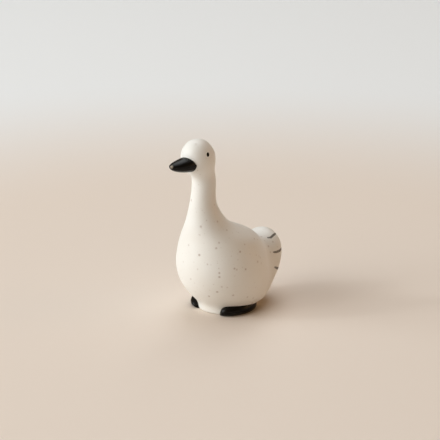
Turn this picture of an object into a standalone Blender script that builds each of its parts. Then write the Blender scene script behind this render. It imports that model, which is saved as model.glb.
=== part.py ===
"""Duck figurine: one glazed ceramic casting on a low plinth, with a beak and two raised foot pads.

Metres, +Z up. The duck faces -Y, its left side is +X, and the origin is the middle of its flat underside.
The casting is a set of rounded forms that run smoothly into each other: a trunk and neck stacked from round
levels, a head, a low seat and a tail lobe.
"""

import math

import bmesh
import bpy
import numpy as np

# Trunk and neck: each level is a circle, given by its height, how far in front of the origin its
# centre stands, and its radius.
KEEL_HEIGHT = 0.0020
KEEL_FORWARD = 0.0004
KEEL_RADIUS = 0.0090
FLANK_HEIGHT = 0.0060
FLANK_FORWARD = 0.0005
FLANK_RADIUS = 0.0144
PAUNCH_HEIGHT = 0.0110
PAUNCH_FORWARD = 0.0018
PAUNCH_RADIUS = 0.0171
BELLY_HEIGHT = 0.0185
BELLY_FORWARD = 0.0031
BELLY_RADIUS = 0.0184
BREAST_HEIGHT = 0.0260
BREAST_FORWARD = 0.0037
BREAST_RADIUS = 0.0174
SHOULDER_HEIGHT = 0.0320
SHOULDER_FORWARD = 0.0057
SHOULDER_RADIUS = 0.0146
COLLAR_HEIGHT = 0.0370
COLLAR_FORWARD = 0.0110
COLLAR_RADIUS = 0.0096
NECK_HEIGHT = 0.0440
NECK_FORWARD = 0.0137
NECK_RADIUS = 0.0061
THROAT_HEIGHT = 0.0580
THROAT_FORWARD = 0.0138
THROAT_RADIUS = 0.0046
NAPE_HEIGHT = 0.0660
NAPE_FORWARD = 0.0161
NAPE_RADIUS = 0.0042
NAPE_ROUNDING = 0.0030

# The levels are joined by a curve that is then averaged over this height to either side.
TRUNK_SOFTENING = 0.0016
SOFTENING_STEPS = 16

HEAD_HEIGHT = 0.0660
HEAD_FORWARD = 0.0171
HEAD_WIDTH = 0.0132
HEAD_TALL = 0.0140
HEAD_BLEND = 0.0040

# Seat: a low egg that fills the lower back, behind the middle of the base.
SEAT_BACK = 0.0037
SEAT_HEIGHT = 0.0088
SEAT_WIDTH = 0.0273
SEAT_LENGTH = 0.0308
SEAT_TALL = 0.0226
SEAT_BLEND = 0.0053

# Tail: a thick oval lobe that leans back.
TAIL_BACK = 0.0202
TAIL_HEIGHT = 0.0172
TAIL_WIDTH = 0.0202
TAIL_LENGTH = 0.0222
TAIL_THICKNESS = 0.0132
TAIL_LEAN = math.radians(23)
TAIL_BLEND = 0.0094

# Below this height the casting is levelled off, inside the plinth, with a rounded edge.
UNDERSIDE_HEIGHT = 0.0018
UNDERSIDE_BLEND = 0.0030

# Plinth: an oval drum under the belly.
PLINTH_WIDTH = 0.0230
PLINTH_LENGTH = 0.0244
PLINTH_HEIGHT = 0.0050
PLINTH_EDGE = 0.0004

# Foot pads: each follows the plinth's wall from its toe round to its heel. The angles are measured
# from the duck's side towards its front. A pad stands out most at its waist, a share of its height,
# and tucks in below it by a share of that distance. The higher the bluntness, the sooner an end is full.
PAD_TOE_ANGLE = math.radians(60)
PAD_HEEL_ANGLE = math.radians(-40)
PAD_HEIGHT = 0.0048
PAD_HEEL_HEIGHT = 0.0040
PAD_STAND_OUT = 0.0038
PAD_HEEL_STAND_OUT = 0.0005
PAD_TUCK = 0.55
PAD_WAIST = 0.45
PAD_DEPTH = 0.0030
LEFT_TOE_BLUNTNESS = 6.0
RIGHT_TOE_BLUNTNESS = 2.4
HEEL_BLUNTNESS = 4.0

# Beak: half an egg that starts inside the head, deeper below its middle than above. Heights are from the
# head's middle. At a fullness of one it would be half an ellipsoid, and at zero it narrows sooner.
BEAK_ROOT = 0.0030
BEAK_REACH = 0.0154
BEAK_WIDTH = 0.0084
BEAK_ABOVE = 0.0030
BEAK_BELOW = 0.0036
BEAK_ROOT_RISE = -0.0017
BEAK_TIP_RISE = -0.00115
BEAK_PLAN_FULLNESS = 0.80
BEAK_ABOVE_FULLNESS = -0.15
BEAK_BELOW_FULLNESS = 0.70

# Fineness of the faceted surface.
RINGS_ALONG = 48
RINGS_CAP = 9
POINTS_AROUND = 48
BEAK_RINGS = 10
BEAK_POINTS = 24
PAD_RINGS = 19
PAD_POINTS = 4
PLINTH_POINTS = 56

# The rings' planes fan out from a line across the duck, above its back and behind its neck.
FAN_BACK = 0.0127
FAN_HEIGHT = 0.0480

# Each point of a ring is found by steps outwards and then by halving the last step.
SEARCH_STEP = 0.0010
SEARCH_REACH = 0.0450
HALVINGS = 16

WHITE_GLAZE = (0.86, 0.83, 0.77, 1.0)
BLACK_GLAZE = (0.018, 0.017, 0.016, 1.0)


def clear_scene():
    for thing in list(bpy.data.objects):
        bpy.data.objects.remove(thing)


def make_glaze(name, colour, roughness):
    glaze = bpy.data.materials.new(name)
    glaze.use_nodes = True
    shader = glaze.node_tree.nodes["Principled BSDF"]
    shader.inputs["Base Color"].default_value = colour
    shader.inputs["Roughness"].default_value = roughness
    shader.inputs["Metallic"].default_value = 0.0
    glaze.diffuse_color = colour
    return glaze


def trunk_levels():
    """The heights, forward shifts and radii of the trunk's levels, from the base up."""
    levels = (
        (KEEL_HEIGHT, KEEL_FORWARD, KEEL_RADIUS),
        (FLANK_HEIGHT, FLANK_FORWARD, FLANK_RADIUS),
        (PAUNCH_HEIGHT, PAUNCH_FORWARD, PAUNCH_RADIUS),
        (BELLY_HEIGHT, BELLY_FORWARD, BELLY_RADIUS),
        (BREAST_HEIGHT, BREAST_FORWARD, BREAST_RADIUS),
        (SHOULDER_HEIGHT, SHOULDER_FORWARD, SHOULDER_RADIUS),
        (COLLAR_HEIGHT, COLLAR_FORWARD, COLLAR_RADIUS),
        (NECK_HEIGHT, NECK_FORWARD, NECK_RADIUS),
        (THROAT_HEIGHT, THROAT_FORWARD, THROAT_RADIUS),
        (NAPE_HEIGHT, NAPE_FORWARD, NAPE_RADIUS),
    )
    return np.array(levels).T


def smooth_curve(knots, values, at):
    """A smooth curve through the values at the knots: a cubic on each span, with matching slopes."""
    slopes = np.gradient(values, knots)
    at = np.clip(at, knots[0], knots[-1])
    span = np.clip(np.searchsorted(knots, at) - 1, 0, len(knots) - 2)
    width = knots[span + 1] - knots[span]
    t = (at - knots[span]) / width
    start = values[span] * (1 + 2 * t) + slopes[span] * width * t
    end = values[span + 1] * (3 - 2 * t) - slopes[span + 1] * width * (1 - t)
    return start * (1 - t) ** 2 + end * t**2


def run_together(a, b, reach):
    """The nearer of two distances, rounded where they are less than reach apart."""
    share = np.clip(0.5 + 0.5 * (b - a) / reach, 0, 1)
    return b + (a - b) * share - reach * share * (1 - share)


def from_egg(x, y, z, half_sizes):
    """Roughly how far a point lies from the surface of an ellipsoid about the origin."""
    a, b, c = half_sizes
    near = np.sqrt((x / a) ** 2 + (y / b) ** 2 + (z / c) ** 2)
    slope = np.sqrt((x / a**2) ** 2 + (y / b**2) ** 2 + (z / c**2) ** 2)
    return near * (near - 1) / np.maximum(slope, 1e-9)


def trunk_curves():
    """The trunk's heights, forward shifts and radii on a fine scale, softened."""
    heights, *curves = trunk_levels()
    spacing = TRUNK_SOFTENING / SOFTENING_STEPS
    at = np.arange(heights[0], heights[-1] + spacing, spacing)
    window = np.hanning(2 * SOFTENING_STEPS + 1)
    softened = [at]
    for values in curves:
        fine = smooth_curve(heights, values, at)
        fine = np.pad(fine, SOFTENING_STEPS, mode="reflect", reflect_type="odd")
        softened.append(np.convolve(fine, window / window.sum(), mode="valid"))
    return softened


def from_trunk(x, y, z):
    heights, forward, radius = trunk_curves()
    steep = np.interp(z, heights, np.gradient(radius, heights))
    off_axis = np.hypot(x, y + np.interp(z, heights, forward))
    side = (off_axis - np.interp(z, heights, radius)) / np.hypot(1, steep)
    rounded = -run_together(-side, NAPE_HEIGHT - z, NAPE_ROUNDING)
    return np.maximum(rounded, KEEL_HEIGHT - z)


def from_head(x, y, z):
    half_sizes = (HEAD_WIDTH / 2, HEAD_WIDTH / 2, HEAD_TALL / 2)
    return from_egg(x, y + HEAD_FORWARD, z - HEAD_HEIGHT, half_sizes)


def from_tail(x, y, z):
    back = y - TAIL_BACK
    up = z - TAIL_HEIGHT
    along = back * math.sin(TAIL_LEAN) + up * math.cos(TAIL_LEAN)
    through = back * math.cos(TAIL_LEAN) - up * math.sin(TAIL_LEAN)
    half_sizes = (TAIL_WIDTH / 2, TAIL_THICKNESS / 2, TAIL_LENGTH / 2)
    return from_egg(x, through, along, half_sizes)


def from_seat(x, y, z):
    half_sizes = (SEAT_WIDTH / 2, SEAT_LENGTH / 2, SEAT_TALL / 2)
    return from_egg(x, y - SEAT_BACK, z - SEAT_HEIGHT, half_sizes)


def from_casting(x, y, z):
    """How far a point lies outside the casting, negative inside. Its underside is inside the plinth."""
    whole = run_together(from_trunk(x, y, z), from_head(x, y, z), HEAD_BLEND)
    whole = run_together(whole, from_seat(x, y, z), SEAT_BLEND)
    whole = run_together(whole, from_tail(x, y, z), TAIL_BLEND)
    return -run_together(-whole, z - UNDERSIDE_HEIGHT, UNDERSIDE_BLEND)


def trunk_middle(height):
    """The point (y, z) on the trunk's own axis at a height."""
    heights, forward, _ = trunk_curves()
    return (-np.interp(height, heights, forward), height)


def centre_line():
    """Points (y, z) on a smooth line from inside the tail through the belly and neck to the head."""
    knots = np.array(
        (
            (TAIL_BACK + 0.1 * TAIL_LENGTH, TAIL_HEIGHT - 0.05 * TAIL_LENGTH),
            ((TAIL_BACK + SEAT_BACK) / 2, (TAIL_HEIGHT + PAUNCH_HEIGHT) / 2),
            trunk_middle((PAUNCH_HEIGHT + BELLY_HEIGHT) / 2),
            trunk_middle(BREAST_HEIGHT),
            trunk_middle((COLLAR_HEIGHT + NECK_HEIGHT) / 2),
            trunk_middle((NECK_HEIGHT + THROAT_HEIGHT) / 2),
            (-HEAD_FORWARD, HEAD_HEIGHT),
        )
    )
    steps = np.arange(len(knots), dtype=float)
    at = np.linspace(0, steps[-1], RINGS_ALONG)
    return np.stack([smooth_curve(steps, knots[:, axis], at) for axis in (0, 1)], axis=1)


def upward(line):
    """The way up in each ring's plane: towards the fan's line, or level once the neck is above it."""
    way = np.array((FAN_BACK, FAN_HEIGHT)) - line
    way[way[:, 1] < 0] = (1, 0)
    return way / np.linalg.norm(way, axis=1)[:, None]


def casting_rings():
    """Rings of points on the casting, found by looking outwards from the centre line."""
    line = centre_line()
    base = np.concatenate((np.repeat(line[:1], RINGS_CAP, 0), line, np.repeat(line[-1:], RINGS_CAP, 0)))
    rise = upward(base)
    turn = np.linspace(0, math.pi / 2, RINGS_CAP + 1)[1:]
    lean = np.concatenate((-turn[::-1], np.zeros(RINGS_ALONG), turn))[:, None]
    around = np.linspace(0, 2 * math.pi, POINTS_AROUND, endpoint=False)[None]

    across = np.cos(lean) * np.sin(around)
    lift = np.cos(lean) * np.cos(around)
    way_y = lift * rise[:, :1] - np.sin(lean) * rise[:, 1:]
    way_z = lift * rise[:, 1:] + np.sin(lean) * rise[:, :1]

    def outside(far):
        return from_casting(far * across, base[:, :1] + far * way_y, base[:, 1:] + far * way_z)

    low = np.zeros_like(across)
    inside = np.ones_like(across, dtype=bool)
    for _ in range(int(SEARCH_REACH / SEARCH_STEP)):
        inside &= outside(low + SEARCH_STEP) < 0
        low = np.where(inside, low + SEARCH_STEP, low)
    high = low + SEARCH_STEP
    for _ in range(HALVINGS):
        middle = (low + high) / 2
        within = outside(middle) < 0
        low = np.where(within, middle, low)
        high = np.where(within, high, middle)
    return np.stack((low * across, base[:, :1] + low * way_y, base[:, 1:] + low * way_z), axis=2)


def loft(name, rings, glaze):
    """A closed object from rings of points. An end ring is closed by one face, or is itself a point."""
    mesh = bpy.data.meshes.new(name)
    shape = bmesh.new()
    loops = []
    for ring in rings:
        if np.ptp(ring, axis=0).max() < 1e-6:
            loops.append([shape.verts.new(ring[0])])
        else:
            loops.append([shape.verts.new(point) for point in ring])
    for near, far in zip(loops, loops[1:]):
        stitch(shape, near, far)
    for loop in (loops[0], loops[-1]):
        if len(loop) > 1:
            shape.faces.new(loop)
    bmesh.ops.recalc_face_normals(shape, faces=shape.faces)
    shape.to_mesh(mesh)
    shape.free()
    mesh.materials.append(glaze)
    mesh.shade_smooth()
    piece = bpy.data.objects.new(name, mesh)
    bpy.context.collection.objects.link(piece)
    return piece


def stitch(shape, near, far):
    """Faces between two loops of points, either of which may be a single point."""
    count = max(len(near), len(far))
    for i in range(count):
        j = (i + 1) % count
        corners = [near[i % len(near)], near[j % len(near)], far[j % len(far)], far[i % len(far)]]
        shape.faces.new(list(dict.fromkeys(corners)))


def make_casting(glaze):
    return loft("duck_figurine", casting_rings(), glaze)


def plinth_wall(around, out):
    """Points (x, y) on the plinth's oval wall, moved outwards. The angle runs from side to front."""
    return (PLINTH_WIDTH / 2 + out) * np.cos(around), -(PLINTH_LENGTH / 2 + out) * np.sin(around)


def make_plinth(glaze):
    """A low oval drum with its lower edge eased, standing on the table."""
    around = np.linspace(0, 2 * math.pi, PLINTH_POINTS, endpoint=False)
    rings = []
    for height, inset in ((0.0, PLINTH_EDGE), (PLINTH_EDGE, 0.0), (PLINTH_HEIGHT, 0.0)):
        x, y = plinth_wall(around, -inset)
        rings.append(np.stack((x, y, np.full_like(x, height)), axis=1))
    return loft("plinth", rings, glaze)


def make_pad(name, side, toe_bluntness, glaze):
    """A foot pad: a rounded rib carried round the plinth's wall, full at the toe and lower at the heel."""
    rings = []
    tuck = np.linspace(0, 1, PAD_POINTS, endpoint=False)
    quarter = np.linspace(0, math.pi / 2, 2 * PAD_POINTS)
    for share in (1 - np.cos(np.linspace(0, math.pi, PAD_RINGS))) / 2:
        angle = PAD_TOE_ANGLE + (PAD_HEEL_ANGLE - PAD_TOE_ANGLE) * share
        bluntness = toe_bluntness if share < 0.5 else HEEL_BLUNTNESS
        full = (1 - abs(2 * share - 1) ** bluntness) ** 0.5
        height = PLINTH_EDGE + (PAD_HEIGHT + (PAD_HEEL_HEIGHT - PAD_HEIGHT) * share - PLINTH_EDGE) * full
        reach = (PAD_STAND_OUT + (PAD_HEEL_STAND_OUT - PAD_STAND_OUT) * share) * full
        waist = PAD_WAIST * height
        below = reach * (1 - PAD_TUCK * (1 - tuck) ** 2)
        above = reach * np.cos(quarter) ** 0.8
        out = np.concatenate(([-PAD_DEPTH], below, above, [-PAD_DEPTH]))
        up = np.concatenate(([0.0], waist * tuck, waist + (height - waist) * np.sin(quarter), [height]))
        x, y = plinth_wall(angle, out)
        rings.append(np.stack((side * x, y, up), axis=1))
    return loft(name, rings, glaze)


def beak_share(share, fullness):
    """How much of its root size the beak keeps at a share of its length."""
    return math.sqrt(max(0.0, (1 - share) * (1 + fullness * share)))


def make_beak(glaze):
    """A bill whose sections are two half ovals, a shallow one over a deep one, shrinking to a round tip."""
    around = np.linspace(0, 2 * math.pi, BEAK_POINTS, endpoint=False)
    rings = []
    for share in np.sin(np.linspace(0, math.pi / 2, BEAK_RINGS)):
        ahead = HEAD_FORWARD + BEAK_ROOT + (BEAK_REACH - BEAK_ROOT) * share
        middle = HEAD_HEIGHT + BEAK_ROOT_RISE + (BEAK_TIP_RISE - BEAK_ROOT_RISE) * share
        above = BEAK_ABOVE * beak_share(share, BEAK_ABOVE_FULLNESS)
        below = BEAK_BELOW * beak_share(share, BEAK_BELOW_FULLNESS)
        wide = BEAK_WIDTH / 2 * beak_share(share, BEAK_PLAN_FULLNESS) * np.cos(around)
        tall = np.where(np.sin(around) > 0, above, below) * np.sin(around)
        rings.append(np.stack((wide, np.full_like(wide, -ahead), middle + tall), axis=1))
    return loft("beak", rings, glaze)


def join_to(body, piece):
    """Joins a piece to the body with a Boolean union and keeps the piece as a hidden guide."""
    union = body.modifiers.new("join_" + piece.name, "BOOLEAN")
    union.operation = "UNION"
    union.solver = "EXACT"
    union.material_mode = "TRANSFER"
    union.object = piece
    piece.hide_render = True
    piece.display_type = "WIRE"


def main():
    clear_scene()
    white = make_glaze("white_glaze", WHITE_GLAZE, 0.38)
    black = make_glaze("black_glaze", BLACK_GLAZE, 0.16)
    body = make_casting(white)
    join_to(body, make_plinth(white))
    join_to(body, make_pad("left_pad", 1, LEFT_TOE_BLUNTNESS, black))
    join_to(body, make_pad("right_pad", -1, RIGHT_TOE_BLUNTNESS, black))
    join_to(body, make_beak(black))


main()
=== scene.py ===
import math

import bpy
import numpy as np
from mathutils import Matrix, Vector


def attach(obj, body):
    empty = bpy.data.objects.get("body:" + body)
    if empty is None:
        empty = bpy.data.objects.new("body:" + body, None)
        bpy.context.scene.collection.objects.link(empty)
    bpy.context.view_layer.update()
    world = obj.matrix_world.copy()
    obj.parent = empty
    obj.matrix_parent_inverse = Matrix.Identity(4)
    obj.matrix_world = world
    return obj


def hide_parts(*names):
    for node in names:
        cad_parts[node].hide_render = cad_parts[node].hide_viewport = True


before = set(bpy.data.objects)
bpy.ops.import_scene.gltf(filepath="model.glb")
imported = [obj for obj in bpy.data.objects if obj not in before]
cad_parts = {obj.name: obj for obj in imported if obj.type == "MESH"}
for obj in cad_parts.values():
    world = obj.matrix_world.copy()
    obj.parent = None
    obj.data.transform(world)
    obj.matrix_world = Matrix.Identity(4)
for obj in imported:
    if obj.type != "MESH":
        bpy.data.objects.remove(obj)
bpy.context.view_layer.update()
mm = 0.001  # shapes are worked out in millimetres and built in metres
tiny = 1e-9  # keeps a divisor from being 0
searchHalvings = 14  # of the last step, where a ray looks for a surface


# Curves and forms. A form is a function that says how far a point is outside it, negative inside.

def smoothCurve(knots, values, at):
    # a cubic on each span between knots, with matching slopes
    slopes = np.gradient(values, knots, axis=0)
    span = np.clip(np.searchsorted(knots, at) - 1, 0, len(knots) - 2)
    width = knots[span + 1] - knots[span]
    t = (at - knots[span]) / width
    if np.ndim(values) > 1:
        t = t[:, None]
        width = width[:, None]
    start = values[span] * (1 + 2 * t) + slopes[span] * width * t
    end = values[span + 1] * (3 - 2 * t) - slopes[span + 1] * width * (1 - t)
    return start * (1 - t) ** 2 + end * t**2


def runTogether(a, b, reach):
    # the smaller of two distances, rounded where they are less than reach apart
    share = np.clip(0.5 + 0.5 * (b - a) / reach, 0, 1)
    return b + (a - b) * share - reach * share * (1 - share)


def fromEgg(x, y, z, halfSizes):
    # an ellipsoid about the origin: the scaled radius less one, over its slope
    a, b, c = halfSizes
    near = np.sqrt((x / a) ** 2 + (y / b) ** 2 + (z / c) ** 2)
    slope = np.sqrt((x / a**2) ** 2 + (y / b**2) ** 2 + (z / c**2) ** 2)
    return near * (near - 1) / np.maximum(slope, tiny)


def reachOf(outside, shape, step, limit):
    # how far each ray goes before it leaves a form: whole steps outwards, then the last step is halved
    low = np.zeros(shape)
    inside = np.ones(shape, dtype=bool)
    for _ in range(int(limit / step)):
        inside &= outside(low + step) < 0
        low = np.where(inside, low + step, low)
    high = low + step
    for _ in range(searchHalvings):
        middle = (low + high) / 2
        within = outside(middle) < 0
        low = np.where(within, middle, low)
        high = np.where(within, high, middle)
    return (low + high) / 2


# Meshes from grids of points

def closedSurface(name, grid, firstPoint=None, lastPoint=None):
    # rows of points joined into rings, each end closed on a point: its own or the mean of its row
    rows, around = grid.shape[:2]
    first = grid[0].mean(axis=0) if firstPoint is None else firstPoint
    last = grid[-1].mean(axis=0) if lastPoint is None else lastPoint
    points = np.concatenate((grid.reshape(-1, 3), [first, last]))
    at = np.arange(rows * around).reshape(rows, around)
    after = np.roll(at, -1, axis=1)
    quads = np.stack((at[:-1], after[:-1], after[1:], at[1:]), axis=-1).reshape(-1, 4)
    start = np.stack((after[0], at[0], np.full(around, rows * around)), axis=-1)
    end = np.stack((at[-1], after[-1], np.full(around, rows * around + 1)), axis=-1)
    mesh = bpy.data.meshes.new(name)
    mesh.from_pydata((points * mm).tolist(), [], quads.tolist() + start.tolist() + end.tolist())
    mesh.validate()
    if signedVolume(points, quads) < 0:
        mesh.flip_normals()
    mesh.shade_smooth()
    piece = bpy.data.objects.new(name, mesh)
    bpy.context.collection.objects.link(piece)
    return piece


def signedVolume(points, quads):
    # about six times the volume: triple products added over two triangles to each four-sided face
    a, b, c, d = (points[quads[:, i]] for i in range(4))
    return (np.cross(a, b) * c).sum() + (np.cross(a, c) * d).sum()


def addAttribute(piece, name, values):
    attribute = piece.data.attributes.new(name, "FLOAT", "POINT")
    attribute.data.foreach_set("value", values.astype(np.float32))


def meshPoints(piece):
    points = np.empty(len(piece.data.vertices) * 3, np.float32)
    piece.data.vertices.foreach_get("co", points)
    return points.reshape(-1, 3).astype(float) / mm


# Trunk and neck, stacked from round levels

trunk = {
    "levels": [  # height, how far the centre stands in front of the origin, radius
        (2.0, 0.4, 9.0), (6.0, 0.5, 14.4), (11.0, 1.8, 17.1), (18.5, 3.1, 18.4), (26.0, 3.7, 17.4),
        (32.0, 5.7, 14.6), (37.0, 11.0, 9.6), (44.0, 13.7, 6.1), (58.0, 13.8, 4.6), (66.0, 16.1, 4.2),
    ],
    "softening": 1.6,  # the joined levels are averaged over this height on either side
    "spacing": 0.1,  # between the heights that the curves are worked out at
    "topRounding": 3.0,
}

head = {"forward": 17.1, "height": 66.0, "width": 13.2, "tall": 14.0, "blend": 4.0}

seat = {"back": 3.7, "height": 8.8, "width": 27.3, "length": 30.8, "tall": 22.6, "blend": 5.3}

tail = {
    "back": 20.2, "height": 17.2, "lean": math.radians(23),
    "width": 20.2, "length": 22.2, "thick": 13.2, "blend": 9.4,
}

plinth = {
    "width": 23.0, "length": 24.4, "height": 5.0,
    "crease": 2.0,  # glaze fills the crease under the belly over about this reach
    "edge": 0.8,
    "underside": 1.8, "undersideBlend": 3.0,  # height at which the belly is cut off, inside the plinth
}


def trunkCurves():
    # the levels joined by cubics and then averaged along the height, as tables that are cheap to read
    heights, forward, radius = np.array(trunk["levels"]).T
    at = np.arange(heights[0], heights[-1] + trunk["spacing"], trunk["spacing"])
    window = np.hanning(int(2 * trunk["softening"] / trunk["spacing"]) + 1)
    tables = []
    for values in (forward, radius):
        fine = smoothCurve(heights, values, np.minimum(at, heights[-1]))
        padded = np.pad(fine, len(window) // 2, mode="reflect", reflect_type="odd")
        tables.append(np.convolve(padded, window / window.sum(), mode="valid"))
    return at, tables[0], tables[1], np.gradient(tables[1], at)


levelHeights, levelForward, levelRadius, levelSteepness = trunkCurves()


def fromTrunk(x, y, z):
    # distance from the leaning axis less the radius there, over the length of the side's slope
    offAxis = np.hypot(x, y + np.interp(z, levelHeights, levelForward))
    side = offAxis - np.interp(z, levelHeights, levelRadius)
    side = side / np.hypot(1, np.interp(z, levelHeights, levelSteepness))
    top = z - levelHeights[-1]
    return np.maximum(-runTogether(-side, -top, trunk["topRounding"]), levelHeights[0] - z)


def fromHead(x, y, z):
    half = head["width"] / 2
    return fromEgg(x, y + head["forward"], z - head["height"], (half, half, head["tall"] / 2))


def fromTail(x, y, z):
    # an ellipsoid, thinnest through its lean
    back = y - tail["back"]
    up = z - tail["height"]
    along = back * math.sin(tail["lean"]) + up * math.cos(tail["lean"])
    through = back * math.cos(tail["lean"]) - up * math.sin(tail["lean"])
    return fromEgg(x, through, along, (tail["width"] / 2, tail["thick"] / 2, tail["length"] / 2))


def fromSeat(x, y, z):
    # an egg behind the middle that fills the lower back
    halfSizes = (seat["width"] / 2, seat["length"] / 2, seat["tall"] / 2)
    return fromEgg(x, y - seat["back"], z - seat["height"], halfSizes)


def fromPlinth(x, y, z):
    # an oval drum: the scaled radius less one, times the mean half size
    a, b = plinth["width"] / 2, plinth["length"] / 2
    wall = (np.hypot(x / a, y / b) - 1) * (a + b) / 2
    return np.maximum(wall, z - plinth["height"])


def fromBody(x, y, z):
    # trunk, head, seat and tail run together, levelled inside the plinth, and joined to it by a soft crease
    whole = runTogether(fromTrunk(x, y, z), fromHead(x, y, z), head["blend"])
    whole = runTogether(whole, fromSeat(x, y, z), seat["blend"])
    whole = runTogether(whole, fromTail(x, y, z), tail["blend"])
    whole = -runTogether(-whole, z - plinth["underside"], plinth["undersideBlend"])
    whole = runTogether(whole, fromPlinth(x, y, z), plinth["crease"])
    return -runTogether(-whole, z, plinth["edge"])


# The casting's surface: rings of rays from a line through the tail, belly, neck and head

casting = {
    "line": [  # back and height
        (22.0, 15.3), (13.2, 13.8), (-2.3, 14.8), (-5.5, 26.0), (-10.9, 40.5), (-14.0, 51.0), (-17.1, 66.0),
    ],
    "fan": (12.7, 48.0),  # back and height of the line across the duck that the rings' planes meet in
    "ringsAlong": 150, "ringsCap": 28, "around": 216,
    "closeRings": (0.93, 1.13, 36),  # from knot, to knot and how many more, behind the plinth's wall
    "evening": 9,  # rings on either side that a ring's angles are averaged with
    "searchPoints": 240, "step": 1.0, "limit": 45.0,
    "gather": 2.2 / 3,  # how strongly points gather where a ring's outline bends
    "bendReach": 3,  # points on either side that a bend is averaged with
}


def castingRays(around):
    # base points and directions: across, back and up parts for each ring and each angle round it
    knots = np.arange(len(casting["line"]), dtype=float)
    even = np.linspace(0, knots[-1], casting["ringsAlong"])
    along = np.sort(np.concatenate((even, np.linspace(*casting["closeRings"]))))
    line = smoothCurve(knots, np.array(casting["line"]), along)
    cap = casting["ringsCap"]
    base = np.concatenate((np.repeat(line[:1], cap, 0), line, np.repeat(line[-1:], cap, 0)))
    rise = np.array(casting["fan"]) - base
    rise[rise[:, 1] < 0] = (1, 0)
    rise = rise / np.linalg.norm(rise, axis=1)[:, None]
    turn = np.linspace(0, math.pi / 2, cap + 2)[1:-1]
    lean = np.concatenate((-turn[::-1], np.zeros(len(line)), turn))[:, None]
    lift = np.cos(lean) * np.cos(around)
    across = np.cos(lean) * np.sin(around)
    back = lift * rise[:, :1] - np.sin(lean) * rise[:, 1:]
    up = lift * rise[:, 1:] + np.sin(lean) * rise[:, :1]
    return base, across, back, up


def castingPoints(around):
    base, across, back, up = castingRays(around)

    def outside(far):
        return fromBody(far * across, base[:, :1] + far * back, base[:, 1:] + far * up)

    far = reachOf(outside, across.shape, casting["step"], casting["limit"])
    return np.stack((far * across, base[:, :1] + far * back, base[:, 1:] + far * up), axis=2)


def gatheredAngles(points, around, count):
    # angles at equal shares of each ring's length plus its turning, so points are close where it bends
    ahead = np.roll(points, -1, axis=1) - points
    length = np.linalg.norm(ahead, axis=2)
    facing = ahead / np.maximum(length, tiny)[..., None]
    turning = np.linalg.norm(facing - np.roll(facing, 1, axis=1), axis=2)
    turning = (turning + np.roll(turning, -1, axis=1)) / 2
    reach = casting["bendReach"]
    turning = sum(np.roll(turning, k, axis=1) for k in range(-reach, reach + 1)) / (2 * reach + 1)
    weight = length / length.sum(axis=1, keepdims=True) + casting["gather"] * turning / (2 * math.pi)
    total = np.cumsum(weight, axis=1)
    total = np.concatenate((np.zeros((len(total), 1)), total), axis=1)
    edges = np.append(around, 2 * math.pi)
    wanted = np.linspace(0, 1, count, endpoint=False)
    return np.stack([np.interp(wanted * row[-1], row, edges) for row in total])


def evenedOut(angles):
    # a bell-shaped mean over neighbouring rings, so that points don't jump sideways between two rings
    reach = casting["evening"]
    weights = np.hanning(2 * reach + 3)[1:-1]
    padded = np.pad(angles, ((reach, reach), (0, 0)), mode="edge")
    return sum(w * padded[i:i + len(angles)] for i, w in enumerate(weights / weights.sum()))


def makeCasting():
    around = np.linspace(0, 2 * math.pi, casting["searchPoints"], endpoint=False)
    rough = castingPoints(around[None])
    angles = evenedOut(gatheredAngles(rough, around, casting["around"]))
    return closedSurface("glazed_casting", castingPoints(angles))


onBodySearch = {"step": 0.5, "limit": 30.0}


def onBody(starts, rays):
    # where rays from one point or from many, all inside the body, come out of it
    rays = rays / np.linalg.norm(rays, axis=-1, keepdims=True)

    def outside(far):
        return fromBody(*(starts[..., i] + far * rays[..., i] for i in range(3)))

    far = reachOf(outside, rays.shape[:-1], onBodySearch["step"], onBodySearch["limit"])
    return starts + far[..., None] * rays


body = makeCasting()
print("casting:", len(body.data.vertices), "points")


# Bill

bill = {
    "root": 3.0, "reach": 15.4,  # ahead of the middle of the head
    "width": 8.4, "above": 3.0, "below": 3.6,
    "rootRise": -1.7, "tipRise": -1.15,
    "planFullness": 0.8, "aboveFullness": -0.15, "belowFullness": 0.7,
    "fillet": 0.8, "filletEnd": 0.01, "filletFade": 6,  # full along the bill, next to none at the border
    # where the black glaze ends, ahead of the middle of the head
    "borderTop": 6.7, "borderCorner": 4.9, "borderBottom": 5.3,
    "cornerTurn": math.radians(-7), "cornerSharpness": 0.65,
    "proud": 0.04, "tucked": 0.3,
    "rings": 60, "around": 96,
    "search": 7.0, "searchStep": 0.1, "halvings": 10,
}


def billSection(ahead, angle):
    # radius of the bill about its axis: two half ellipses, one over the other, narrowing to a blunt tip
    share = np.clip((ahead - bill["root"]) / (bill["reach"] - bill["root"]), 0, 1)
    plan = np.sqrt((1 - share) * (1 + bill["planFullness"] * share))
    over = np.sin(angle) > 0
    side = np.sqrt((1 - share) * (1 + np.where(over, bill["aboveFullness"], bill["belowFullness"]) * share))
    half = np.where(over, bill["above"], bill["below"])
    wide = np.cos(angle) / (bill["width"] / 2 * np.maximum(plan, tiny))
    tall = np.sin(angle) / (half * np.maximum(side, tiny))
    return 1 / np.hypot(wide, tall)


def billMiddle(ahead):
    share = (ahead - bill["root"]) / (bill["reach"] - bill["root"])
    return head["height"] + bill["rootRise"] + (bill["tipRise"] - bill["rootRise"]) * share


def headSection(ahead, angle):
    # the farthest place on a ray across the bill's axis that is still in the white casting, or 0
    def inCasting(far):
        across = far * np.cos(angle)[..., None]
        back = -head["forward"] - ahead[..., None]
        height = billMiddle(ahead)[..., None] + far * np.sin(angle)[..., None]
        return fromBody(across, back, height) < 0

    far = np.arange(0, bill["search"], bill["searchStep"])
    inside = inCasting(far)
    low = np.where(inside, far, 0).max(axis=-1, keepdims=True)
    high = low + bill["searchStep"]
    for _ in range(bill["halvings"]):
        middle = (low + high) / 2
        within = inCasting(middle)
        low = np.where(within, middle, low)
        high = np.where(within, high, middle)
    return np.where(inside.any(axis=-1), low[..., 0], 0)


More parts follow.
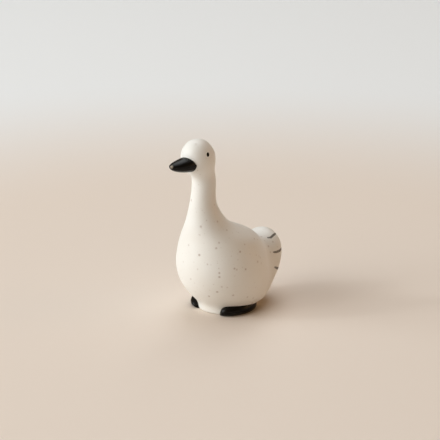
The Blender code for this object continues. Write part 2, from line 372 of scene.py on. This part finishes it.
def makeBill():
    # for each angle a profile from the tip to the glaze's border: the larger of bill and head, run together
    angle = np.linspace(0, 2 * math.pi, bill["around"], endpoint=False)[None]
    lifted = np.abs(np.sin(angle - bill["cornerTurn"] * np.sign(np.cos(angle)))) ** bill["cornerSharpness"]
    far = np.where(np.sin(angle) > 0, bill["borderTop"], bill["borderBottom"])
    border = bill["borderCorner"] + (far - bill["borderCorner"]) * lifted
    share = np.linspace(0, 1, bill["rings"] + 1)[1:, None]
    ahead = bill["reach"] + (border - bill["reach"]) * (1 - np.cos(share * math.pi / 2))
    angle = np.broadcast_to(angle, ahead.shape)
    fillet = bill["fillet"] * (1 - share ** bill["filletFade"]) + bill["filletEnd"]
    radius = -runTogether(-billSection(ahead, angle), -headSection(ahead, angle), fillet) + bill["proud"]
    height = billMiddle(ahead) + radius * np.sin(angle)
    rings = np.stack((radius * np.cos(angle), -head["forward"] - ahead, height), axis=2)
    tip = np.array((0, -head["forward"] - bill["reach"], billMiddle(bill["reach"])))
    inside = np.array((0, -head["forward"], head["height"] + bill["rootRise"]))
    inward = inside - rings[-1:]
    tucked = rings[-1:] + inward / np.linalg.norm(inward, axis=2, keepdims=True) * bill["tucked"]
    return closedSurface("bill", np.concatenate((rings, tucked)), tip, inside)


# Foot pads

pads = {
    "toeTurn": math.radians(60), "heelTurn": math.radians(-40),  # from the duck's side towards its front
    "heel": {"height": 4.0, "out": 0.5, "bluntness": 4.0},
    "leftToe": {"height": 4.8, "out": 3.8, "bluntness": 6.0},
    "rightToe": {"height": 4.4, "out": 4.3, "bluntness": 2.4},  # lower, and rises more slowly
    "tuck": 0.55,  # share of the standing-out lost again at the table
    "waist": 0.45,  # share of the height where a pad stands out most
    "fullness": 0.8,  # under 1, the top is squarer than a quarter of an ellipse
    "depth": 3.0,
    "rings": 90, "below": 12, "above": 26,
}


def makePad(name, side, toe):
    # a rounded rib carried round the plinth's wall, from toe to heel
    heel = pads["heel"]
    share = (1 - np.cos(np.linspace(0, math.pi, pads["rings"] + 2)[1:-1]))[:, None] / 2
    angle = pads["toeTurn"] + (pads["heelTurn"] - pads["toeTurn"]) * share
    full = np.sqrt(1 - np.abs(2 * share - 1) ** np.where(share < 0.5, toe["bluntness"], heel["bluntness"]))
    height = (toe["height"] + (heel["height"] - toe["height"]) * share) * full
    reach = (toe["out"] + (heel["out"] - toe["out"]) * share) * full
    low = np.linspace(0, 1, pads["below"], endpoint=False)[None]
    high = np.linspace(0, math.pi / 2, pads["above"])[None]
    waist = pads["waist"] * height
    ones = np.ones_like(share)
    out = np.concatenate((
        -pads["depth"] * ones,
        reach * (1 - pads["tuck"] * (1 - low) ** 2),
        reach * np.cos(high) ** pads["fullness"],
        -pads["depth"] * ones,
    ), axis=1)
    up = np.concatenate((0 * ones, waist * low, waist + (height - waist) * np.sin(high), height), axis=1)
    x = side * (plinth["width"] / 2 + out) * np.cos(angle)
    y = -(plinth["length"] / 2 + out) * np.sin(angle)
    return closedSurface(name, np.stack((x, y, up), axis=2))


# Eyes

eyes = {
    "turn": math.radians(81.5), "lean": math.radians(16),
    "rise": 2.1 / 6.2,  # above the middle of the head, for each mm out
    "width": 1.2, "tall": 1.75, "tucked": 0.3,
    "dome": 0.14, "domeSpan": 0.98, "domeDrop": 0.1,  # how round the drop is, and the share of it sunk in
    "rings": 12, "around": 40,
}


def makeEye(name, side):
    # an oval patch of the head's surface, domed as a drop of glaze and closed underneath
    middle = np.array((0, -head["forward"], head["height"]))
    facing = np.array((side * math.sin(eyes["turn"]), -math.cos(eyes["turn"]), eyes["rise"]))
    level = np.array((-facing[1], facing[0], 0)) / math.hypot(facing[0], facing[1])
    steep = np.cross(facing, level) / np.linalg.norm(facing)
    upward = steep * math.cos(eyes["lean"]) + level * math.sin(eyes["lean"]) * side
    sideways = level * math.cos(eyes["lean"]) - steep * math.sin(eyes["lean"]) * side
    centre = onBody(middle, facing[None])[0]
    angle = np.linspace(0, 2 * math.pi, eyes["around"], endpoint=False)[None, :, None]
    out = np.sin(np.linspace(0, math.pi / 2, eyes["rings"] + 1)[1:])[:, None, None]
    wide = eyes["width"] / 2 * np.cos(angle) * sideways
    tall = eyes["tall"] / 2 * np.sin(angle) * upward
    rays = centre + out * (wide + tall) - middle
    skin = onBody(middle, rays)
    unit = rays / np.linalg.norm(rays, axis=-1, keepdims=True)
    domed = skin + unit * eyes["dome"] * (np.sqrt(1 - out**2 * eyes["domeSpan"]) - eyes["domeDrop"])
    under = skin[-1:] - unit[-1:] * eyes["tucked"]
    top = centre + facing / np.linalg.norm(facing) * eyes["dome"] * (1 - eyes["domeDrop"])
    return closedSurface(name, np.concatenate((domed, under)), top, centre - facing * eyes["tucked"])


# Brush strokes on the tail, as a distance to the nearest stroke's edge at each point of the casting

strokes = {
    "paths": [  # turn round the tail from straight back, in degrees, and height
        [(103, 25.4), (93, 25.3), (81, 25.6), (66, 25.9), (48, 25.8)],
        [(105, 20.4), (97, 20.15), (88, 20.15), (74, 20.2), (60, 20.3)],
        [(108, 14.5), (103, 14.0), (97, 13.4), (88, 12.7), (78, 12.3)],
    ],
    "halfWidths": (0.30, 0.46, 0.52, 0.48, 0.30),  # along each stroke
    "points": 90,
    "about": 12.0,  # how far ahead of the tail's middle the strokes are looked for
    "noneNear": 9.0,
}


def strokeEdges(points):
    nearest = np.full(len(points), strokes["noneNear"])
    about = points[:, 1] > tail["back"] - strokes["about"]
    close = points[about]
    for path in strokes["paths"]:
        knots = np.arange(len(path), dtype=float)
        along = np.linspace(0, knots[-1], strokes["points"])
        turn, height = smoothCurve(knots, np.array(path, dtype=float), along).T
        half = np.interp(along, knots, strokes["halfWidths"])
        for side in (1, -1):
            rays = np.stack((side * np.sin(np.radians(turn)), np.cos(np.radians(turn)), 0 * turn), axis=1)
            start = np.stack((0 * turn, 0 * turn + tail["back"], height), axis=1)
            line = onBody(start, rays)
            apart = np.linalg.norm(close[:, None] - line[None], axis=2) - half[None]
            nearest[about] = np.minimum(nearest[about], apart.min(axis=1))
    return nearest


addAttribute(body, "strokeEdge", strokeEdges(meshPoints(body)))
print("strokes painted")

beak = makeBill()
padLeft = makePad("foot_pad_left", 1, pads["leftToe"])
padRight = makePad("foot_pad_right", -1, pads["rightToe"])
eyeLeft = makeEye("eye_left", 1)
eyeRight = makeEye("eye_right", -1)
print("bill, pads and eyes made")


# Shader maths: a wrapped socket that can be added, multiplied and raised in plain expressions

class Sock:
    def __init__(self, tree, socket=None):
        self.tree = tree
        self.socket = socket

    def make(self, kind, settings, inputs, output=0):
        node = self.tree.nodes.new(kind)
        for name, value in settings.items():
            setattr(node, name, value)
        for name, value in inputs.items():
            if isinstance(value, Sock):
                self.tree.links.new(value.socket, node.inputs[name])
            else:
                node.inputs[name].default_value = value
        return Sock(self.tree, node.outputs[output])

    def maths(self, operation, first, second):
        return self.make("ShaderNodeMath", {"operation": operation}, {0: first, 1: second})

    def __add__(self, other):
        return self.maths("ADD", self, other)

    def __sub__(self, other):
        return self.maths("SUBTRACT", self, other)

    def __mul__(self, other):
        return self.maths("MULTIPLY", self, other)

    def __truediv__(self, other):
        return self.maths("DIVIDE", self, other)

    def __pow__(self, other):
        return self.maths("POWER", self, other)

    def __rsub__(self, other):
        return self.maths("SUBTRACT", other, self)

    __radd__ = __add__
    __rmul__ = __mul__

    def clamped(self):
        return self.make("ShaderNodeClamp", {}, {"Value": self})

    def mixed(self, first, second):
        # the first colour where this is 0, the second where it is 1
        return self.make("ShaderNodeMix", {"data_type": "RGBA"}, {0: self, 6: first, 7: second}, 2)

    def noise(self, scale, detail=2.0):
        return self.make("ShaderNodeTexNoise", {}, {"Vector": self, "Scale": scale, "Detail": detail}, "Fac")

    def part(self, axis):
        return self.make("ShaderNodeSeparateXYZ", {}, {"Vector": self}, axis)


def newGlaze(name):
    # a new material, its shader, and a wrapper round its tree to start from
    material = bpy.data.materials.new(name)
    material.use_nodes = True
    shader = material.node_tree.nodes["Principled BSDF"]
    return material, shader, Sock(material.node_tree)


def feed(wrapped, shader, socketName):
    wrapped.tree.links.new(wrapped.socket, shader.inputs[socketName])


def colour(r, g, b):
    return (r, g, b, 1.0)


def clouds(place, scale, detail, low, contrast):
    # soft patches: 0 where the noise is under low, rising to 1
    return ((place.noise(scale, detail) - low) * contrast).clamped()


def varied(place, scale, detail, by):
    # noise to add to a value: about 0, and at most half of by each way
    return (place.noise(scale, detail) - 0.5) * by


def hillsOf(place, rows):
    # noises of several sizes added up
    return sum(place.noise(scale, detail) * height for scale, detail, height in rows)


def specks(place, cell, smallest, largest, softness):
    # round spots of random size, one to a cell: 1 in a spot and 0 outside it, and each cell's own chance
    inputs = {"Vector": place, "Scale": 1 / (cell * mm), "Randomness": 1.0}
    away = place.make("ShaderNodeTexVoronoi", {"feature": "F1"}, inputs, "Distance")
    cellColour = Sock(place.tree, away.socket.node.outputs["Color"])
    chance = cellColour.make("ShaderNodeSeparateColor", {}, {"Color": cellColour}, 0)
    radius = (smallest + (largest - smallest) * chance**2.0) / cell
    return ((radius - away) / (softness / cell)).clamped(), chance


def nearTo(place, middle, reach, fade):
    # 0 beyond a reach of a point, rising to 1 over a fade inwards from there, all in millimetres
    metres = tuple(value * mm for value in middle)
    away = place.make("ShaderNodeVectorMath", {"operation": "DISTANCE"}, {0: place, 1: metres}, "Value")
    return ((reach * mm - away) / (fade * mm)).clamped()


def wipedBare(place, height):
    # 1 at the table and 0 from this height up: the foot is wiped before firing
    return (1.0 - place.part("Z") / (height * mm)).clamped()


def bumped(hills, strength, distance):
    inputs = {"Height": hills, "Strength": strength, "Distance": distance * mm}
    return hills.make("ShaderNodeBump", {}, inputs, "Normal")


whiteGlaze = {
    "colour": colour(0.83, 0.815, 0.775),
    "thin": colour(0.79, 0.75, 0.68),  # where the glaze runs thin, the clay warms it
    "clay": colour(0.70, 0.61, 0.50),
    "speck": colour(0.29, 0.165, 0.095),
    "stroke": colour(0.075, 0.062, 0.052),
    "thinClouds": (70.0, 3.0, 0.42, 2.2), "thinShare": 0.45,  # clouds: scale, detail, low and contrast
    "wobbleScale": 900.0, "wobble": 0.3,  # mm that the specks' outlines are shaken by
    "specks": (2.0, 0.14, 0.72, 0.46),  # mm: cell, smallest and largest radius, soft edge
    "speckShare": 0.12, "speckChance": 0.46,  # how dark every speck is, and how much darker by chance
    "fineSpecks": (1.1, 0.08, 0.32, 0.22), "fineChance": 0.22,
    # most specks gather about this place, in mm
    "speckledPlace": (11.0, -15.0, 28.5), "speckledReach": 19.0, "speckledFade": 8.0,
    "speckledClouds": (75.0, 1.0, 0.38, 4.0), "cloudShare": 0.8,
    "elsewhere": 0.12, "fineElsewhere": 0.3,  # share of the darkness left outside the speckled places
    "strokeRagged": (1300.0, 3.0, 0.45), "strokeSoftness": 0.22,  # how far a stroke's edge wanders and fades
    "brushMarks": (2600.0, 2.0), "brushLow": 0.35, "brushContrast": 1.2, "strokeCover": 0.70,
    "dryHeight": 0.25,
    "roughness": 0.48, "roughVaried": (160.0, 3.0, 0.14), "dryRoughness": 0.4, "speckRoughness": 0.06,
    "hills": [(110.0, 1.0, 0.35), (700.0, 2.0, 0.05)],  # scale, detail, height
    "speckDip": 0.02, "dryGrain": 5000.0, "dryHills": 0.1,
    "bumpStrength": 0.35, "bumpDistance": 0.4,
}


def paintWhite():
    material, shader, start = newGlaze("white_speckled_glaze")
    place = start.make("ShaderNodeTexCoord", {}, {}, "Object")
    wobble = start.make("ShaderNodeTexNoise", {}, {
        "Vector": place, "Scale": whiteGlaze["wobbleScale"], "Detail": 2.0}, "Color")
    shaken = start.make("ShaderNodeVectorMath", {"operation": "MULTIPLY_ADD"}, {
        0: wobble, 1: (whiteGlaze["wobble"] * mm,) * 3, 2: place})

    thin = clouds(place, *whiteGlaze["thinClouds"]) * whiteGlaze["thinShare"]
    look = thin.mixed(whiteGlaze["colour"], whiteGlaze["thin"])

    gathered = nearTo(
        place, whiteGlaze["speckledPlace"], whiteGlaze["speckledReach"], whiteGlaze["speckledFade"])
    patchy = clouds(place, *whiteGlaze["speckledClouds"]) * whiteGlaze["cloudShare"]
    patchy = place.maths("MAXIMUM", patchy, gathered)
    spot, chance = specks(shaken, *whiteGlaze["specks"])
    least = whiteGlaze["elsewhere"]
    dark = spot * (whiteGlaze["speckShare"] + whiteGlaze["speckChance"] * chance)
    look = (dark * (least + (1 - least) * patchy)).mixed(look, whiteGlaze["speck"])
    fine, chance = specks(shaken, *whiteGlaze["fineSpecks"])
    least = whiteGlaze["fineElsewhere"]
    dark = fine * whiteGlaze["fineChance"] * chance
    look = (dark * (least + (1 - least) * patchy)).mixed(look, whiteGlaze["speck"])

    edge = start.make("ShaderNodeAttribute", {"attribute_name": "strokeEdge"}, {}, "Fac")
    ragged = edge + varied(place, *whiteGlaze["strokeRagged"])
    brushed = (0.5 - ragged / whiteGlaze["strokeSoftness"]).clamped()
    marks = (place.noise(*whiteGlaze["brushMarks"]) - whiteGlaze["brushLow"]) * whiteGlaze["brushContrast"]
    look = (brushed * (whiteGlaze["strokeCover"] + marks).clamped()).mixed(look, whiteGlaze["stroke"])

    dry = wipedBare(place, whiteGlaze["dryHeight"])
    look = dry.mixed(look, whiteGlaze["clay"])
    feed(look, shader, "Base Color")

    rough = whiteGlaze["roughness"] + varied(place, *whiteGlaze["roughVaried"])
    rough = rough + dry * whiteGlaze["dryRoughness"] + spot * whiteGlaze["speckRoughness"]
    feed(rough.clamped(), shader, "Roughness")
    hills = hillsOf(place, whiteGlaze["hills"]) - spot * whiteGlaze["speckDip"]
    hills = hills + dry * place.noise(whiteGlaze["dryGrain"]) * whiteGlaze["dryHills"]
    feed(bumped(hills, whiteGlaze["bumpStrength"], whiteGlaze["bumpDistance"]), shader, "Normal")
    return material


blackGlaze = {
    "colour": colour(0.0065, 0.0058, 0.0052),
    "thin": colour(0.040, 0.026, 0.018),  # brown where it is thin at edges
    # bare clay at the wiped foot, also the colour of the painted highlight on the bill's tip
    "clay": colour(0.36, 0.31, 0.25),
    "edgeShare": 0.5,
    "thinCloud": (420.0, 3.0), "cloudLow": 0.64, "cloudShare": 0.45,
    # a painted highlight on the bill's tip: a pale spot in the colour of bare clay, in mm
    "tipHighlightPlace": (0.4, -32.3, 65.1), "tipHighlightReach": 0.85, "tipHighlightFade": 0.5,
    "tipHighlightVaried": (1500.0, 2.0, 0.5), "tipHighlightShare": 0.9,
    "dryHeight": 0.12,
    "roughness": 0.24, "roughVaried": (300.0, 3.0, 0.12), "thinRoughness": 0.12, "dryRoughness": 0.5,
    "shine": 0.11,
    "hills": [(260.0, 1.0, 0.5), (1400.0, 2.0, 0.05)],
    "bumpStrength": 0.3, "bumpDistance": 0.3,
}


def paintBlack():
    material, shader, start = newGlaze("black_gloss_glaze")
    place = start.make("ShaderNodeTexCoord", {}, {}, "Object")
    edge = start.make("ShaderNodeAttribute", {"attribute_name": "glazeEdge"}, {}, "Fac")
    cloud = (place.noise(*blackGlaze["thinCloud"]) - blackGlaze["cloudLow"]) * blackGlaze["cloudShare"]
    thin = (edge * blackGlaze["edgeShare"] + cloud).clamped()
    look = thin.mixed(blackGlaze["colour"], blackGlaze["thin"])
    # painted highlight: a pale clay-coloured spot on the bill's tip stands in for the glint of light there
    reach = blackGlaze["tipHighlightReach"] + varied(place, *blackGlaze["tipHighlightVaried"])
    tipHighlight = nearTo(place, blackGlaze["tipHighlightPlace"], reach, blackGlaze["tipHighlightFade"])
    look = (tipHighlight * blackGlaze["tipHighlightShare"]).mixed(look, blackGlaze["clay"])
    dry = wipedBare(place, blackGlaze["dryHeight"])
    look = dry.mixed(look, blackGlaze["clay"])
    feed(look, shader, "Base Color")
    rough = blackGlaze["roughness"] + varied(place, *blackGlaze["roughVaried"])
    rough = rough + thin * blackGlaze["thinRoughness"] + dry * blackGlaze["dryRoughness"]
    feed(rough.clamped(), shader, "Roughness")
    shader.inputs["Specular IOR Level"].default_value = blackGlaze["shine"]
    hills = hillsOf(place, blackGlaze["hills"])
    feed(bumped(hills, blackGlaze["bumpStrength"], blackGlaze["bumpDistance"]), shader, "Normal")
    return material


glazeBorder = {"inner": 0.05, "outer": 0.5}  # mm out of the white body between which the border fades


def borderShare(piece):
    # 1 at the border with the white glaze, fading away from it
    points = meshPoints(piece)
    depth = fromBody(*points.T)
    return np.clip((glazeBorder["outer"] - depth) / (glazeBorder["outer"] - glazeBorder["inner"]), 0, 1)


for piece in (beak, padLeft, padRight):
    addAttribute(piece, "glazeEdge", borderShare(piece))

white = paintWhite()
black = paintBlack()
body.data.materials.append(white)
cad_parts["duck_figurine"].data.materials.clear()
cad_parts["duck_figurine"].data.materials.append(white)
for piece in (beak, padLeft, padRight, eyeLeft, eyeRight):
    piece.data.materials.append(black)
    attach(piece, "root")
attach(body, "root")
for piece in (body, beak, padLeft, padRight, eyeLeft, eyeRight):
    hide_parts("duck_figurine")
print("glazes done")


# Camera, from the photograph's framing

camera = {
    "azimuth": math.radians(42.0), "pitch": math.radians(17.5),
    "focalPixels": 1600.0, "imagePixels": 440, "sensor": 36.0,
    "originPixel": (226.85, 304.68), "pixelsPerMm": 2.452,  # where the frame's origin is seen, and how large
    "clipStart": 0.01, "clipEnd": 20.0,
}


def makeCamera():
    a, e = camera["azimuth"], camera["pitch"]
    right = Vector((math.cos(a), math.sin(a), 0))
    back = Vector((math.sin(a) * math.cos(e), -math.cos(a) * math.cos(e), math.sin(e)))
    up = back.cross(right)
    across = camera["originPixel"][0] - camera["imagePixels"] / 2
    down = camera["originPixel"][1] - camera["imagePixels"] / 2
    perMm = camera["pixelsPerMm"]
    place = (back * camera["focalPixels"] - right * across + up * down) * (mm / perMm)
    lens = bpy.data.cameras.new("camera")
    lens.lens = camera["sensor"] * camera["focalPixels"] / camera["imagePixels"]
    lens.sensor_width = camera["sensor"]
    lens.clip_start = camera["clipStart"]
    lens.clip_end = camera["clipEnd"]
    seen = bpy.data.objects.new("camera", lens)
    turn = Matrix((right, up, back)).transposed()
    seen.matrix_world = Matrix.Translation(place) @ turn.to_4x4()
    bpy.context.collection.objects.link(seen)
    bpy.context.scene.camera = seen


# Floor, sky and lamps

stage = {
    "nearFloor": colour(0.815, 0.72, 0.635), "farFloor": colour(0.885, 0.91, 0.925),
    "nearEnd": 0.16, "farStart": 0.42,  # metres from the object between which the floor's colour changes
    "floorSize": 6.0, "roughness": 0.6, "shine": 0.2,
    "sky": colour(1.0, 0.67, 0.37), "skyStrength": 0.145,
}

lamps = [  # name, turn from the camera and rise in degrees, size in metres, watts, colour
    ("key", -80, 20, 2.2, 43.0, (0.89, 0.96, 1.0)),
    ("glint", -82, 27, 0.3, 6.5, (0.95, 0.98, 1.0)),
    ("front", -50, 25, 1.5, 13.0, (1.0, 0.95, 0.87)),
    ("side", 92, 5, 1.5, 11.0, (1.0, 0.57, 0.26)),
    ("back", 180, 50, 1.5, 13.0, (0.92, 0.97, 1.0)),
    ("top", 180, 80, 2.0, 17.0, (0.95, 0.98, 1.0)),
]
lampDistance = 2.4
lampAim = Vector((0, 0, 0.035))


def makeStage():
    bpy.ops.mesh.primitive_plane_add(size=stage["floorSize"])
    floor = bpy.context.object
    floor.name = "floor"
    material, shader, start = newGlaze("floor")
    place = start.make("ShaderNodeTexCoord", {}, {}, "Object")
    out = start.make("ShaderNodeVectorMath", {"operation": "LENGTH"}, {0: place}, "Value")
    far = start.make("ShaderNodeMapRange", {"interpolation_type": "SMOOTHSTEP"}, {
        "Value": out, "From Min": stage["nearEnd"], "From Max": stage["farStart"]}, "Result")
    feed(far.mixed(stage["nearFloor"], stage["farFloor"]), shader, "Base Color")
    shader.inputs["Roughness"].default_value = stage["roughness"]
    shader.inputs["Specular IOR Level"].default_value = stage["shine"]
    floor.data.materials.append(material)
    world = bpy.data.worlds.new("sky")
    world.use_nodes = True
    world.node_tree.nodes["Background"].inputs["Color"].default_value = stage["sky"]
    world.node_tree.nodes["Background"].inputs["Strength"].default_value = stage["skyStrength"]
    bpy.context.scene.world = world


def makeLamp(name, turn, rise, size, watts, tint):
    a = camera["azimuth"] + math.radians(turn)
    e = math.radians(rise)
    away = Vector((math.sin(a) * math.cos(e), -math.cos(a) * math.cos(e), math.sin(e)))
    light = bpy.data.lights.new(name, "AREA")
    light.shape = "DISK"
    light.size = size
    light.energy = watts
    light.color = tint
    lamp = bpy.data.objects.new(name, light)
    lamp.location = lampAim + away * lampDistance
    lamp.rotation_euler = away.to_track_quat("Z", "Y").to_euler()
    bpy.context.collection.objects.link(lamp)


makeCamera()
makeStage()
for lamp in lamps:
    makeLamp(*lamp)
bpy.context.scene.view_settings.view_transform = "Standard"
print("stage set")
